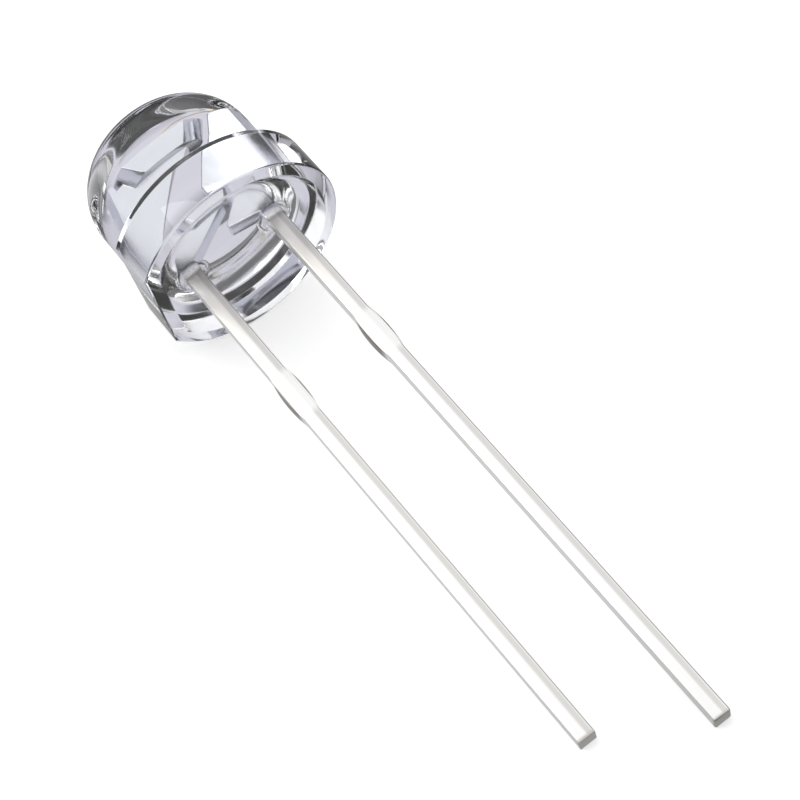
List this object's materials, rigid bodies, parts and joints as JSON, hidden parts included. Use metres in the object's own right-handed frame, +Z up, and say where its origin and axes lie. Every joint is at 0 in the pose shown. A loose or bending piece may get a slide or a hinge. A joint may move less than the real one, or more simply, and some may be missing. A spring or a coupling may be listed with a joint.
{
  "type": "through-hole light-emitting diode",
  "caption": "Clear through-hole light-emitting diode with a short domed wide-angle lens on a thick flange and square leads.",
  "frame": {"origin": "on the surface that the diode lies on, under the middle of the box round the part", "axes": "+X towards the lead tips, +Y towards the anode side, +Z up; the optical axis points to -X and a little up"},
  "size_m": [0.0216, 0.0056, 0.0059],
  "materials": {
    "clear_resin": "clear, smooth and glossy cast resin",
    "plated_lead": "bright silver plating, dipped in tin from just below the base",
    "die": "smooth, half clear crystal",
    "paste": "satin, silver-filled",
    "gold": "bright drawn gold"
  },
  "bodies": {
    "root": {"lens_body": "clear_resin", "cathode_lead": "plated_lead", "anode_lead": "plated_lead", "led_die": "die", "die_paste": "paste", "bond_wire": "gold"}
  },
  "joints": []
}
